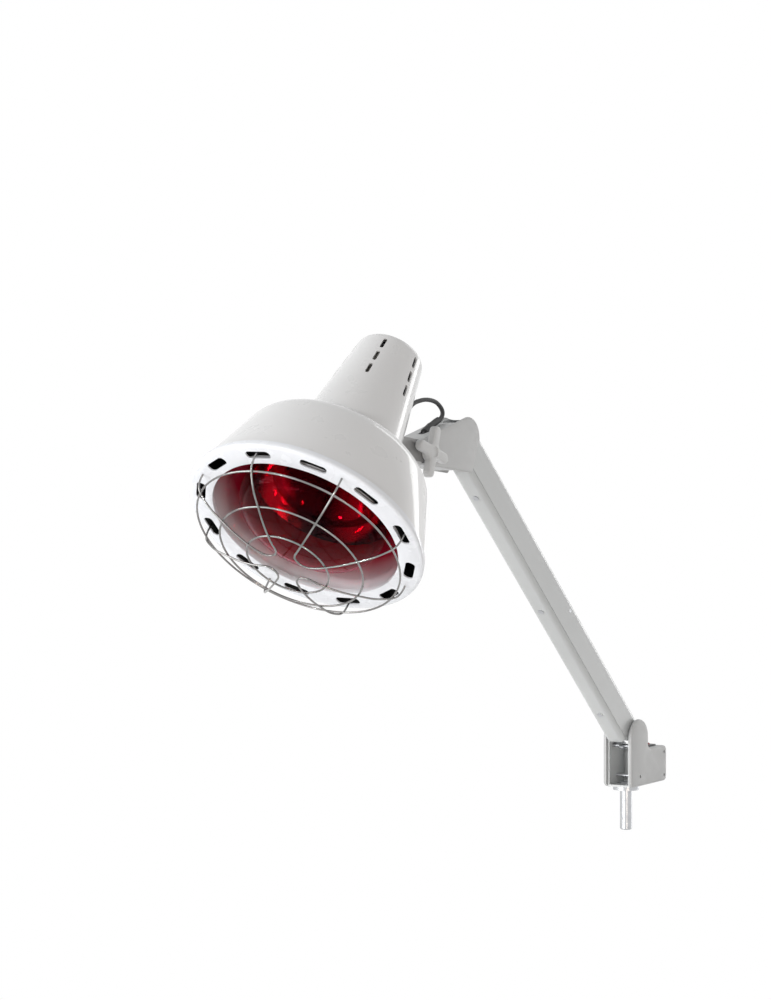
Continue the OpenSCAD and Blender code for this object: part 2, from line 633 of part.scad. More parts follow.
// One spring: a close-wound body with an eye over each pin
module balance_springs() color("gray") in_arm() for (x = [-1, 1]) difference() {
    union() {
        translate([x * spring_x, 0, spring_pin_offset])
            rotate([atan2(anchor_z - spring_pin_offset, -spring_len) + 180, 0, 0]) {
                translate([0, -10, 0]) rotate([90, 0, 0]) cylinder(r = spring_r, h = spring_len - 20);
                translate([0, -0.1, 0]) rotate([90, 0, 0]) cylinder(r = 0.8, h = spring_len - 0.2);
            }
        bar_x([0, spring_pin_offset], spring_pin_r + 1.2, x * spring_x - 0.8, x * spring_x + 0.8);
        bar_x([-spring_len, anchor_z], 3.2, x * spring_x - 0.8, x * spring_x + 0.8);
    }
    bar_x([0, spring_pin_offset], spring_pin_r + 0.1, -20, 20);
    bar_x([-spring_len, anchor_z], 2.1, -20, 20);
}
lead_x = arm_in - lead_r - 0.3;
module arm_lead() color("dimgray") in_arm()
    translate([lead_x, -24, -9.5]) rotate([90, 0, 0]) cylinder(r = lead_r, h = arm_len - 48);

module tie_rod() color("gray") translate(base_pivot) translate(-tie_offset * arm_up) rotate([-arm_slope, 0, 0])
    difference() {
        plate(-tie_t / 2, tie_t / 2) {
            circle(tie_h / 2 + 0.9);
            translate([-arm_len, 0]) circle(tie_h / 2 + 0.9);
            translate([-arm_len, -tie_h / 2]) square([arm_len, tie_h]);
        }
        bar_x([0, 0], tie_pin_r + run_fit, -20, 20);
        bar_x([-arm_len, 0], tie_pin_r + 0.35, -20, 20);
    }

// ---- base ----

tie_base_at = [-tie_offset * sin(arm_slope), pivot_h - tie_offset * cos(arm_slope)];
spring_base_at = [spring_pin_offset * sin(arm_slope), pivot_h + spring_pin_offset * cos(arm_slope)];
module base_frame() color("gray") difference() {
    union() {
        plate_pair(frame_in, frame_out) {
            translate([0, pivot_h]) circle(frame_front);
            translate([-frame_front, shoulder_t]) square([2 * frame_front, pivot_h - shoulder_t]);
        }
        translate([-frame_out, -frame_front, shoulder_t]) cube([2 * frame_out, 2 * frame_front, frame_t]);
    }
    translate([0, 0, -1]) cylinder(r = spigot_r - 1, h = 20);
    bar_x([0, pivot_h], pin_r + 0.02, -20, 20);
    bar_x(tie_base_at, tie_pin_r + 0.02, -20, 20);
    bar_x(spring_base_at, spring_pin_r + 0.02, -20, 20);
    bar_x(base_screw_at[0], screw_r + 0.2, -20, 20);
}
module base_spigot() color("silver") {
    translate([0, 0, -spigot_len + 1]) cylinder(r = spigot_r, h = spigot_len - 1);
    translate([0, 0, -spigot_len]) cylinder(r1 = spigot_r - 1, r2 = spigot_r, h = 1);
    cylinder(r = shoulder_r, h = shoulder_t);
    cylinder(r = spigot_r - 1, h = frame_foot + 2);
    translate([0, 0, frame_foot]) cylinder(r1 = spigot_r + 1.5, r2 = spigot_r - 1, h = 2);
}
module arm_base_pin() color("silver") bar_x([0, pivot_h], pin_r, -frame_out, frame_out);
module tie_base_pin() color("silver") bar_x(tie_base_at, tie_pin_r, -frame_out, frame_out);
module spring_base_pin() color("silver") bar_x(spring_base_at, spring_pin_r, -frame_out, frame_out);

module box_outline(y0, y1, z0, z1, r) {
    for (y = [y0 + r, y1 - r], z = [z0 + r, z1 - r]) translate([y, z]) circle(r);
    translate([y0 + r, z0]) square([y1 - y0 - 2 * r, z1 - z0]);
    translate([y0, z0 + r]) square([y1 - y0, z1 - z0 - 2 * r]);
}
module base_outline() {
    translate([0, pivot_h]) circle(lobe_base_r);
    translate([-lobe_base_r, shoulder_t + 6]) square([2 * lobe_base_r, pivot_h - shoulder_t - 6]);
    box_outline(-lobe_base_r, box_y1, shoulder_t, box_z1, 5);
}
// One half of the housing: a side panel, half of the switch box and its screw bosses
module base_half(side) difference() {
    union() {
        plate(min(side * panel_in, side * base_w / 2), max(side * panel_in, side * base_w / 2)) base_outline();
        plate(min(0, side * panel_in), max(0, side * panel_in)) difference() {
            box_outline(box_y0, box_y1, shoulder_t, box_z1, 5);
            box_outline(box_y0 + cover_wall, box_y1 - cover_wall, shoulder_t + cover_wall,
                box_z1 - cover_wall, 3);
        }
        for (i = [1, 2]) bar_x(base_screw_at[i], boss_r, min(0, side * panel_in), max(0, side * panel_in));
    }
    for (p = base_screw_at) {
        bar_x(p, screw_r + 0.2, -base_w, base_w);
        bar_x(p, screw_head_r + 0.2, -base_w, -base_w / 2 + screw_sink);
    }
    translate([-switch_half_x + 1, switch_y - switch_half_y + 1, box_z1 - 5])
        cube([2 * switch_half_x - 2, 2 * switch_half_y - 2, 10]);
    translate([0, box_y1 - 6, gland_z]) rotate([-90, 0, 0]) cylinder(r = 6, h = 12);
}
module base_cover_left() color("gainsboro") base_half(-1);
module base_cover_right() color("gainsboro") base_half(1);
module base_screws() color("gray") for (p = base_screw_at) {
    bar_x(p, screw_r, -base_w / 2 + screw_sink, base_w / 2 - 1);
    bar_x(p, screw_head_r, -base_w / 2 + 0.2, -base_w / 2 + screw_sink);
}
module switch_frame() color("black") difference() {
    union() {
        translate([-switch_half_x - 1, switch_y - switch_half_y - 1, box_z1])
            cube([2 * switch_half_x + 2, 2 * switch_half_y + 2, 1.5]);
        translate([-switch_half_x + 1.2, switch_y - switch_half_y + 1.2, box_z1 - 16])
            cube([2 * switch_half_x - 2.4, 2 * switch_half_y - 2.4, 16.5]);
    }
    plate(-well_half_x, well_half_x) {
        translate([switch_y, rocker_z]) circle(rocker_r + 0.5);
        translate([switch_y - rocker_r - 0.5, rocker_z]) square([2 * rocker_r + 1, 8]);
    }
    bar_x([switch_y, rocker_z], 1 + run_fit, -well_half_x - 0.9, well_half_x + 0.9);
}
module switch_rocker() color("crimson") {
    translate([0, switch_y, rocker_z]) rotate([rocker_tilt, 0, 0])
        plate(-well_half_x + 0.3, well_half_x - 0.3) intersection() {
            circle(rocker_r);
            polygon([[-20, 6.5], [0, 4], [20, 6.5], [20, -4], [-20, -4]]);
        }
    bar_x([switch_y, rocker_z], 1, -well_half_x - 0.8, well_half_x + 0.8);
}
module terminal_block() color("ivory") translate([-6, box_y0 + cover_wall + 3, shoulder_t + cover_wall])
    difference() {
        cube([12, 20, 9]);
        for (y = [5, 15]) translate([6, y, 2]) cylinder(r = 1.8, h = 10);
    }
module cord_gland() color("dimgray") translate([0, box_y1, gland_z]) rotate([-90, 0, 0]) difference() {
    union() {
        translate([0, 0, -cover_wall - 0.1]) cylinder(r = 5.9, h = cover_wall + 0.1);
        translate([0, 0, -cover_wall - 2.1]) cylinder(r = 7.5, h = 2);
        cylinder(r = 7.5, h = 3);
        translate([0, 0, 3]) cylinder(r1 = 6, r2 = 4.4, h = 14);
    }
    translate([0, 0, -6]) cylinder(r = 3.2, h = 30);
}

shade_bell();
shade_neck();
vent_ring();
reflector();
wire_guard();
bulb_glass();
bulb_stem();
bulb_filament();
bulb_cap();
lamp_socket();
socket_shell();
socket_contact();
socket_bracket();
socket_screws();
neck_grommet();
head_bracket();
bracket_screws();
tilt_bolt();
friction_washers();
tilt_knob();
knob_insert();
head_lead();
knuckle_frame();
knuckle_cover();
lead_bush();
arm_top_pin();
tie_top_pin();
arm_channel();
arm_cover();
cover_screws();
arm_bushes();
spring_anchor();
balance_springs();
arm_lead();
tie_rod();
base_frame();
base_spigot();
arm_base_pin();
tie_base_pin();
spring_base_pin();
base_cover_left();
base_cover_right();
base_screws();
switch_frame();
switch_rocker();
terminal_block();
cord_gland();
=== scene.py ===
# %% [markdown]
# # An infrared heat lamp, dressed for the camera
# The CAD frame holds every piece at its real size. This script gives the pieces their looks:
# glossy white enamel, bright wire, ruby glass and moulded grey plastic. Blender works in metres,
# like the frame. Outlines are in millimetres, as on a workshop drawing, and `MM` turns them into
# metres.

# %% Load the frame
import json
import math

import bpy
from mathutils import Matrix, Vector


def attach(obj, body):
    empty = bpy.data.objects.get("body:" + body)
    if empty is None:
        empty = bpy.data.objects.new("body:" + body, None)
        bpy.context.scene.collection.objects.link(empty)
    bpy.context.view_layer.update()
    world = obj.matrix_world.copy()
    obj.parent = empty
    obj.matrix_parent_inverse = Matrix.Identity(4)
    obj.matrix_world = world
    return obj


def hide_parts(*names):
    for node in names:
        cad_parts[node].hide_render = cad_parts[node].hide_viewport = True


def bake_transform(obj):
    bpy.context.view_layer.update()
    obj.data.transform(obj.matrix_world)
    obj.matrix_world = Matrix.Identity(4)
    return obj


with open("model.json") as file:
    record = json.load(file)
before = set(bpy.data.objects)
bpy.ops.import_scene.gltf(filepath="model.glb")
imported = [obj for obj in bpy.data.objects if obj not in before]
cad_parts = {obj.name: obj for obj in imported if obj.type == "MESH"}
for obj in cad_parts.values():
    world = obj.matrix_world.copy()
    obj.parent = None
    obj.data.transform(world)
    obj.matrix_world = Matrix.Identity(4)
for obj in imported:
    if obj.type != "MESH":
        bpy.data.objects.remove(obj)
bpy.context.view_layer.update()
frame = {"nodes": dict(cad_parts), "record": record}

MM = 0.001
nodes = frame["nodes"]
pivot = {j["name"]: Vector(j["pos_m"]) for j in frame["record"]["behaviour"]["joints"]}

# %% [markdown]
# ## Three working frames
# The shade is turned round its own axis, so it is easiest to model it upright, with its rim at
# height 0 and its neck above, and then to lay it in place. The knuckle is drawn round its pivot,
# and the base straight in the row frame. Each frame is a matrix that takes local points to the
# row frame.

# %% Working frames
HEAD_PITCH = math.radians(49)
TILT_BEHIND = 76 * MM
TILT_ABOVE = 150 * MM

HEAD = (Matrix.Translation(pivot["head_tilt"])
        @ Matrix.Rotation(HEAD_PITCH - math.pi / 2, 4, "X")
        @ Matrix.Translation((0, -TILT_BEHIND, -TILT_ABOVE)))
KNUCKLE = Matrix.Translation(pivot["knuckle_level"])
ROW = Matrix.Identity(4)
rim_centre = HEAD @ Vector((0, 0, 0))
head_axis = HEAD.to_3x3() @ Vector((0, 0, 1))
print("rim centre at", [round(v, 3) for v in rim_centre])

# %% [markdown]
# ## The camera
# The photograph was taken level, from in front and a little to the right, with a short telephoto
# lens. The camera is placed from the rim's centre, so it keeps its view of the shade.

# %% Camera
CAMERA_FROM_RIM = Vector((1.0012, -1.4243, 0.0226))
CAMERA_AZIMUTH = math.radians(33.02)
SENSOR_HEIGHT = 36
FOCAL_LENGTH = 79.2
SEES_AS_FAR_AS = 60

bpy.ops.object.camera_add(location=rim_centre + CAMERA_FROM_RIM,
                          rotation=(math.pi / 2, 0, CAMERA_AZIMUTH))
camera = bpy.context.object
camera.name = "photo_camera"
camera.data.sensor_fit = "VERTICAL"
camera.data.sensor_height = SENSOR_HEIGHT
camera.data.lens = FOCAL_LENGTH
camera.data.clip_end = SEES_AS_FAR_AS
bpy.context.scene.camera = camera
print("camera", round(CAMERA_FROM_RIM.length, 2), "m from the rim")

# %% [markdown]
# ## A line of points
# Most sheet metal and mouldings start as an outline. A plane merged to one vertex, extruded from
# point to point, draws it in the same way as clicking the points would.

# %% Line of points
SAME_SPOT = 1e-6


def pick(*objects):
    """Selects objects and makes the first one active."""
    bpy.ops.object.select_all(action="DESELECT")
    for obj in objects:
        obj.select_set(True)
    bpy.context.view_layer.objects.active = objects[0]


def chain(name, points):
    """One vertex, extruded from point to point. It stays in edit mode."""
    bpy.context.tool_settings.mesh_select_mode = (True, False, False)
    bpy.ops.object.select_all(action="DESELECT")
    bpy.ops.mesh.primitive_plane_add(size=0.01)
    obj = bpy.context.object
    obj.name = name
    bpy.ops.object.mode_set(mode="EDIT")
    bpy.ops.mesh.merge(type="CENTER")
    bpy.ops.transform.translate(value=points[0])
    for a, b in zip(points, points[1:]):
        bpy.ops.mesh.extrude_vertices_move(TRANSFORM_OT_translate={"value": Vector(b) - Vector(a)})
    return obj


def arc(centre, radius, start, end, steps):
    """Points along an arc, with its angles in degrees."""
    turns = [math.radians(start + (end - start) * i / steps) for i in range(steps + 1)]
    return [(centre[0] + radius * math.cos(t), centre[1] + radius * math.sin(t)) for t in turns]


def rounded_box(y0, y1, z0, z1, radius, steps=6):
    """The outline of a rectangle with round corners."""
    outline = []
    for y, z, start in ((y1 - radius, z1 - radius, 0), (y0 + radius, z1 - radius, 90),
                        (y0 + radius, z0 + radius, 180), (y1 - radius, z0 + radius, 270)):
        outline += arc((y, z), radius, start, start + 90, steps)
    return outline


# %% [markdown]
# ## Spinning and tracing
# A metal spinning is drawn as half an outline and spun round an axis. A flat moulding is traced
# round its outline, filled and thickened. These two moves make most of this lamp, so each is one
# function.

# %% Spinning and tracing
def turned(name, outline, steps=160, closed=True):
    """A half outline of (radius, height) in millimetres, spun round the Z axis."""
    points = [Vector((r * MM, 0, h * MM)) for r, h in outline]
    obj = chain(name, points + points[:1] if closed else points)
    bpy.ops.mesh.select_all(action="SELECT")
    bpy.ops.mesh.spin(steps=steps, angle=2 * math.pi, center=(0, 0, 0), axis=(0, 0, 1))
    bpy.ops.mesh.select_all(action="SELECT")
    bpy.ops.mesh.remove_doubles(threshold=SAME_SPOT)
    bpy.ops.mesh.normals_make_consistent(inside=False)
    bpy.ops.object.mode_set(mode="OBJECT")
    return obj


def traced(name, outline, low, high):
    """A closed outline of (y, z) in millimetres, filled and thickened along X from low to high."""
    points = [Vector((low * MM, y * MM, z * MM)) for y, z in outline]
    obj = chain(name, points + points[:1])
    bpy.ops.mesh.select_all(action="SELECT")
    bpy.ops.mesh.remove_doubles(threshold=SAME_SPOT)
    bpy.ops.mesh.edge_face_add()
    bpy.ops.mesh.extrude_region_move(TRANSFORM_OT_translate={"value": ((high - low) * MM, 0, 0)})
    bpy.ops.mesh.select_all(action="SELECT")
    bpy.ops.mesh.normals_make_consistent(inside=False)
    bpy.ops.object.mode_set(mode="OBJECT")
    return obj


def bar(name, radius, low, high, spot, axis, degrees=90, steps=32):
    """A round bar, turned about an axis and moved to a spot, to drill a hole with."""
    tool = turned(name, [(0, low), (radius, low), (radius, high), (0, high)], steps, closed=False)
    tool.matrix_world = (Matrix.Translation(Vector(spot) * MM)
                         @ Matrix.Rotation(math.radians(degrees), 4, axis))
    return tool


# %% [markdown]
# ## Cutting, rounding and settling
# Holes are cut with Boolean modifiers and edges are rounded with Bevel modifiers, each applied at
# once. A finished piece is laid in the row frame with its place in its mesh, so that its object
# sits at the origin and a pattern on Object coordinates stays where it is.

# %% Cutting, rounding and settling
def modify(obj, kind, **settings):
    """Adds a modifier, sets it and applies it."""
    pick(obj)
    bpy.ops.object.modifier_add(type=kind)
    modifier = obj.modifiers[-1]
    for key, value in settings.items():
        setattr(modifier, key, value)
    bpy.ops.object.modifier_apply(modifier=modifier.name)


def combine(obj, other, operation):
    """Cuts or joins with another object and throws that one away."""
    modify(obj, "BOOLEAN", operation=operation, object=other, solver="EXACT")
    bpy.data.objects.remove(other)


def cut(obj, cutter):
    combine(obj, cutter, "DIFFERENCE")


def round_edges(obj, width, segments, angle):
    """Rounds the edges that are sharper than an angle in degrees."""
    modify(obj, "BEVEL", width=width * MM, segments=segments, limit_method="ANGLE",
           angle_limit=math.radians(angle))


def join(name, pieces):
    pick(*pieces)
    bpy.ops.object.join()
    pieces[0].name = name
    return pieces[0]


def apply_place(obj):
    pick(obj)
    bpy.ops.object.transform_apply(location=True, rotation=True, scale=True)


def settle(obj, place, body, angle=40):
    """Lays a finished piece in the row frame, smooths it and lets it ride on its body."""
    obj.matrix_world = place @ obj.matrix_world
    apply_place(obj)
    bpy.ops.object.shade_smooth_by_angle(angle=math.radians(angle))
    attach(obj, body)
    size = " x ".join(str(round(side / MM)) for side in obj.dimensions)
    print(obj.name, "has", len(obj.data.polygons), "faces in a box of", size, "mm")


# %% [markdown]
# ## Finishes as formulas
# A shader graph is arithmetic on sockets. `Value` wraps one socket and lets `+`, `-` and `*` add
# the Math nodes, so a finish reads as a formula.

# %% Sockets as values
class Value:
    """One output socket of a finish."""

    def __init__(self, finish, socket):
        self.finish = finish
        self.socket = socket

    def math(self, operation, other):
        return self.finish.node("ShaderNodeMath", {"operation": operation}, {0: self, 1: other})

    def __add__(self, other):
        return self.math("ADD", other)

    def __sub__(self, other):
        return self.math("SUBTRACT", other)

    def __mul__(self, other):
        return self.math("MULTIPLY", other)


# %% [markdown]
# ## A finish
# One finish is one material: a Principled shader and the nodes that feed it. `node` adds any
# node, and the other helpers are the few patterns that the real surfaces need. They all read
# Object coordinates, so nothing has to be unwrapped.

# %% Finish
class Finish:
    """One material: a Principled shader, and the nodes that feed it."""

    def __init__(self, name, **sockets):
        self.material = bpy.data.materials.new(name)
        self.material.use_nodes = True
        self.tree = self.material.node_tree
        self.shader = self.tree.nodes["Principled BSDF"]
        for key, value in sockets.items():
            self.shader.inputs[key.replace("_", " ")].default_value = value
        print("finish", name)

    def node(self, kind, settings=None, inputs=None, output=0):
        made = self.tree.nodes.new(kind)
        for key, value in (settings or {}).items():
            if key == "stops":
                while len(made.color_ramp.elements) < len(value):
                    made.color_ramp.elements.new(0.5)
                for element, (place, colour) in zip(made.color_ramp.elements, value):
                    element.position = place
                    element.color = colour
            else:
                setattr(made, key, value)
        for key, value in (inputs or {}).items():
            if isinstance(value, Value):
                self.tree.links.new(value.socket, made.inputs[key])
            else:
                made.inputs[key].default_value = value
        return Value(self, made.outputs[output])

    def feed(self, socket, value):
        self.tree.links.new(value.socket, self.shader.inputs[socket])

    def spot(self):
        """The place on the piece, in Object coordinates."""
        return self.node("ShaderNodeTexCoord", output="Object")

    def noise(self, scale, detail):
        return self.node("ShaderNodeTexNoise", inputs={
            "Vector": self.spot(), "Scale": scale, "Detail": detail})

    def spread(self, value, low, high, start=0.3, end=0.7):
        """Stretches a value from start..end to low..high."""
        return self.node("ShaderNodeMapRange",
                         inputs={0: value, 1: start, 2: end, 3: low, 4: high})

    def along(self, direction, origin, start, end):
        """Runs from 0 to 1 between two distances along a direction, measured from an origin."""
        way = self.node("ShaderNodeVectorMath", {"operation": "DOT_PRODUCT"},
                        {0: self.spot(), 1: tuple(direction)}, output="Value")
        offset = Vector(direction).dot(origin)
        return self.spread(way, 0, 1, offset + start * MM, offset + end * MM)

    def blend(self, mask, first, second):
        """Mixes two colours by a mask."""
        return self.node("ShaderNodeMix", {"data_type": "RGBA"},
                         {0: mask, 6: first, 7: second}, output=2)

    def bump(self, height, distance):
        normal = self.node("ShaderNodeBump", inputs={"Height": height, "Distance": distance})
        self.feed("Normal", normal)


def wear(obj, *finishes):
    """Gives a piece its finishes, one to a material slot."""
    obj.data.materials.clear()
    for finish in finishes:
        obj.data.materials.append(finish.material)


# %% [markdown]
# ## Painted steel
# The shade is spun steel under a white stoved enamel. Up close such enamel has a faint orange
# peel, and its gloss is a clear coat over the colour. Dust and handling vary the gloss a little,
# and they darken the white in broad soft clouds that are only just visible.

# %% Enamel
def enamel(name, colour, tint, roughness, peel=0.00002, coat=0.8):
    finish = Finish(name, Roughness=roughness, Coat_Weight=coat, Coat_Roughness=0.05)
    clouds = finish.noise(9, 3)
    finish.feed("Base Color", finish.blend(finish.spread(clouds, 0, 1), colour, tint))
    gloss = finish.spread(finish.noise(60, 4), roughness - 0.04, roughness + 0.05)
    finish.feed("Roughness", gloss)
    finish.bump(finish.noise(700, 1), peel)
    return finish


white_enamel = enamel("white_enamel", (0.78, 0.78, 0.78, 1), (0.765, 0.765, 0.765, 1), 0.30)
ring_enamel = enamel("ring_enamel", (0.86, 0.88, 0.92, 1), (0.84, 0.86, 0.90, 1), 0.26)
arm_enamel = enamel("arm_enamel", (0.57, 0.585, 0.585, 1), (0.55, 0.565, 0.565, 1), 0.36)
bracket_enamel = enamel("bracket_enamel", (0.30, 0.30, 0.30, 1), (0.27, 0.27, 0.27, 1), 0.45)
# a near-black enamel that is painted shade, for the bell's inside, the ring's back and the bowl's
# outside
painted_inner_shade = enamel("painted_inner_shade", (0.030, 0.030, 0.031, 1), (0.022, 0.022, 0.022, 1), 0.8,
                     coat=0)

# %% [markdown]
# ## The bowl's enamel
# The bowl behind the ring is glossier than the shade. Where it faces the bulb it takes a crimson
# that is a painted reflection of the ruby glass: a ramp along the head's axis turns its white into
# that crimson from the mouth inwards, which is steadier than leaving it all to reflections.

# %% Enamel of the bowl
BOWL_WHITE = (0.90, 0.895, 0.93, 1)
# crimson painted reflection of the ruby bulb, deepest inside the bowl
BOWL_PAINTED_REFLECTION = (0.42, 0.010, 0.045, 1)
WHITE_UNTIL = 5
PAINTED_REFLECTION_FROM = 34

bowl_enamel = enamel("bowl_enamel", (0.90, 0.90, 0.93, 1), (0.88, 0.87, 0.90, 1), 0.12, 0.00001,
                     coat=1)
# the ramp that paints the crimson reflection into the bowl's white
painted_reflection_ramp = bowl_enamel.along(head_axis, rim_centre, WHITE_UNTIL, PAINTED_REFLECTION_FROM)
bowl_enamel.feed("Base Color", bowl_enamel.blend(painted_reflection_ramp, BOWL_WHITE, BOWL_PAINTED_REFLECTION))


# %% [markdown]
# ## Moulded plastic
# The knuckle, the knob and the base are moulded in light grey. Moulded plastic has a fine
# spark-eroded grain and shows slow cloudy changes of gloss where the mould ran hotter. Rubber,
# nylon, fibre and glazed ceramic differ from it only in colour, gloss and grain, so one function
# makes them all.

# %% Plastics
def moulded(name, colour, tint, roughness, grain=0.00003):
    finish = Finish(name, Roughness=roughness)
    clouds = finish.noise(26, 4)
    finish.feed("Base Color", finish.blend(finish.spread(clouds, 0, 1), colour, tint))
    gloss = finish.spread(finish.noise(140, 3), roughness - 0.06, roughness + 0.08)
    finish.feed("Roughness", gloss)
    finish.bump(finish.noise(2600, 2), grain)
    return finish


grey_plastic = moulded("grey_plastic", (0.55, 0.555, 0.555, 1), (0.52, 0.525, 0.525, 1), 0.42)
pale_plastic = moulded("pale_plastic", (0.67, 0.675, 0.675, 1), (0.64, 0.645, 0.645, 1), 0.36)
black_plastic = moulded("black_plastic", (0.018, 0.018, 0.019, 1), (0.026, 0.026, 0.027, 1), 0.38)
red_plastic = moulded("red_plastic", (0.42, 0.012, 0.012, 1), (0.36, 0.010, 0.010, 1), 0.22)
white_nylon = moulded("white_nylon", (0.78, 0.78, 0.74, 1), (0.72, 0.72, 0.68, 1), 0.5)
dark_rubber = moulded("dark_rubber", (0.045, 0.046, 0.048, 1), (0.062, 0.063, 0.065, 1), 0.62,
                      0.00006)
glazed_ceramic = moulded("glazed_ceramic", (0.80, 0.77, 0.70, 1), (0.75, 0.72, 0.66, 1), 0.2,
                         0.00001)
pressed_fibre = moulded("pressed_fibre", (0.10, 0.085, 0.07, 1), (0.07, 0.06, 0.05, 1), 0.8,
                        0.00008)


# %% [markdown]
# ## Bare metals
# The guard's wire carries fine scratches and a bright nickel plate. Zinc plate is greyer and
# shows a soft spangle. All are full metals, and their roughness tells them apart.

# %% Metals
def plated(name, colour, tint, roughness, cloud, scratch):
    finish = Finish(name, Metallic=1.0, Roughness=roughness)
    clouds = finish.noise(cloud, 3)
    finish.feed("Base Color", finish.blend(finish.spread(clouds, 0, 1), colour, tint))
    gloss = finish.spread(finish.noise(scratch, 4), roughness - 0.06, roughness + 0.1)
    finish.feed("Roughness", gloss)
    finish.bump(finish.noise(scratch * 4, 2), 0.00001)
    return finish


bright_wire = plated("bright_wire", (0.34, 0.335, 0.33, 1), (0.22, 0.215, 0.21, 1), 0.18, 70, 500)
zinc_plate = plated("zinc_plate", (0.58, 0.59, 0.60, 1), (0.46, 0.47, 0.49, 1), 0.32, 160, 900)
brass = plated("brass", (0.78, 0.56, 0.22, 1), (0.66, 0.45, 0.16, 1), 0.28, 120, 700)
cap_alloy = plated("cap_alloy", (0.80, 0.78, 0.74, 1), (0.68, 0.66, 0.62, 1), 0.3, 120, 700)
tungsten = plated("tungsten", (0.32, 0.31, 0.33, 1), (0.24, 0.23, 0.25, 1), 0.4, 300, 900)

# %% [markdown]
# ## The bulb's mirror
# The mirror on the bulb's cone shows a bright side, a dark middle and a dimmer far side. These
# are painted reflections and painted shade: a colour ramp along one fixed direction across the
# bulb paints them, and a little noise keeps their borders from being ruler straight.

# %% Mirror of the bulb
ACROSS_BULB = (0.84, 0.54, 0)
MIRROR_REACH = 55
BORDER_NOISE = 0.35
# painted reflections and painted shade across the mirror: bright side, dark middle, dim far side
PAINTED_MIRROR_LIGHT = [
    (0.0, (1.0, 0.85, 0.85, 1)), (0.28, (0.95, 0.75, 0.70, 1)), (0.42, (0.05, 0.035, 0.03, 1)),
    (0.6, (0.02, 0.015, 0.015, 1)), (0.8, (0.30, 0.20, 0.20, 1)), (1.0, (0.60, 0.45, 0.40, 1))]

bulb_mirror = plated("bulb_mirror", (0.85, 0.62, 0.52, 1), (0.30, 0.20, 0.16, 1), 0.08, 26, 90)
across = bulb_mirror.along(ACROSS_BULB, rim_centre, -MIRROR_REACH, MIRROR_REACH)
across = across + (bulb_mirror.noise(34, 3) - 0.5) * BORDER_NOISE
# the mirror's colour is these painted reflections and painted shade
painted_mirror_light = bulb_mirror.node("ShaderNodeValToRGB", {"stops": PAINTED_MIRROR_LIGHT}, {"Fac": across})
bulb_mirror.feed("Base Color", painted_mirror_light)

# %% [markdown]
# ## Ruby glass
# The bulb's face is glass coloured through with red, and a mirror lies on the inside of its cone.
# Light that enters comes back through the same red glass, which is why it looks deep and has
# orange sparks.

# %% Glass
ruby_glass = Finish("ruby_glass", Base_Color=(0.64, 0.035, 0.11, 1), Roughness=0.02, IOR=1.12,
                    Transmission_Weight=1.0, Specular_Tint=(0.9, 0.03, 0.10, 1), Coat_Weight=0.02)
clear_glass = Finish("clear_glass", Base_Color=(0.92, 0.95, 0.96, 1), Roughness=0.02, IOR=1.5,
                     Transmission_Weight=1.0)

# %% [markdown]
# ## Dress the CAD pieces
# The CAD nodes whose shape is already right keep their meshes and only get a finish.

# %% Finishes on CAD nodes
CAD_SMOOTH = math.radians(30)
dressing = {
    arm_enamel: ["arm_channel", "arm_cover", "base_frame"],
    bracket_enamel: ["head_bracket"],
    zinc_plate: ["socket_bracket", "socket_screws", "bracket_screws", "tilt_bolt", "arm_top_pin",
                 "tie_top_pin", "arm_base_pin", "tie_base_pin", "spring_base_pin",
                 "spring_anchor", "balance_springs", "tie_rod", "knuckle_frame", "base_spigot",
                 "cover_screws", "base_screws"],
    brass: ["socket_shell", "knob_insert"],
    cap_alloy: ["bulb_cap", "socket_contact"],
    tungsten: ["bulb_filament"],
    clear_glass: ["bulb_stem"],
    glazed_ceramic: ["lamp_socket"],
    dark_rubber: ["neck_grommet", "lead_bush", "arm_lead"],
    pressed_fibre: ["friction_washers"],
    white_nylon: ["arm_bushes", "terminal_block"],
    black_plastic: ["switch_frame", "cord_gland"],
    red_plastic: ["switch_rocker"],
}
for finish, names in dressing.items():
    for name in names:
        wear(nodes[name], finish)
        pick(nodes[name])
        bpy.ops.object.shade_smooth_by_angle(angle=CAD_SMOOTH)
print("dressed", sum(len(names) for names in dressing.values()), "CAD nodes")

# %% [markdown]
# ## The bell
# The bell is one spun steel sheet: a short straight rim, a long cone and a round shoulder that
# turns into a flat top. It is drawn as half a section with its wall thickness and spun round. The
# faces that look inwards take a near-black enamel that is painted shade inside the bell.

# %% Bell
RIM_R = 97.9
RIM_LOW = 0.3
SKIRT_H = 4.6
BELL_H = 77.2
SHOULDER_R = 80.8
ROUND = 22
BELL_LEAN = 17.7
SHEET = 1.2
NECK_FOOT_R = 45.6
TOP_HOLE_R = NECK_FOOT_R - 3

shoulder = (SHOULDER_R - ROUND, BELL_H - ROUND)
bell = turned("bell_enamelled", [(RIM_R, RIM_LOW), (RIM_R, SKIRT_H)]
              + arc(shoulder, ROUND, BELL_LEAN, 90, 24)
              + [(TOP_HOLE_R, BELL_H), (TOP_HOLE_R, BELL_H - SHEET)]
              + arc(shoulder, ROUND - SHEET, 90, BELL_LEAN, 24)
              + [(RIM_R - SHEET, SKIRT_H), (RIM_R - SHEET, RIM_LOW)])
wear(bell, white_enamel, painted_inner_shade)
# faces that look inwards get the near-black painted shade
for face in bell.data.polygons:
    outward = Vector((face.center.x, face.center.y, 0))
    if face.normal.dot(outward) < 0 or face.normal.z < -0.5:
        face.material_index = 1
settle(bell, HEAD, "head")
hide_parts("shade_bell")

# %% [markdown]
# ## The neck
# The neck is a tapering tube with a closed, rounded top. It is spun as one wall, like the bell,
# with a short sleeve at its foot that goes down through the hole in the bell's top.

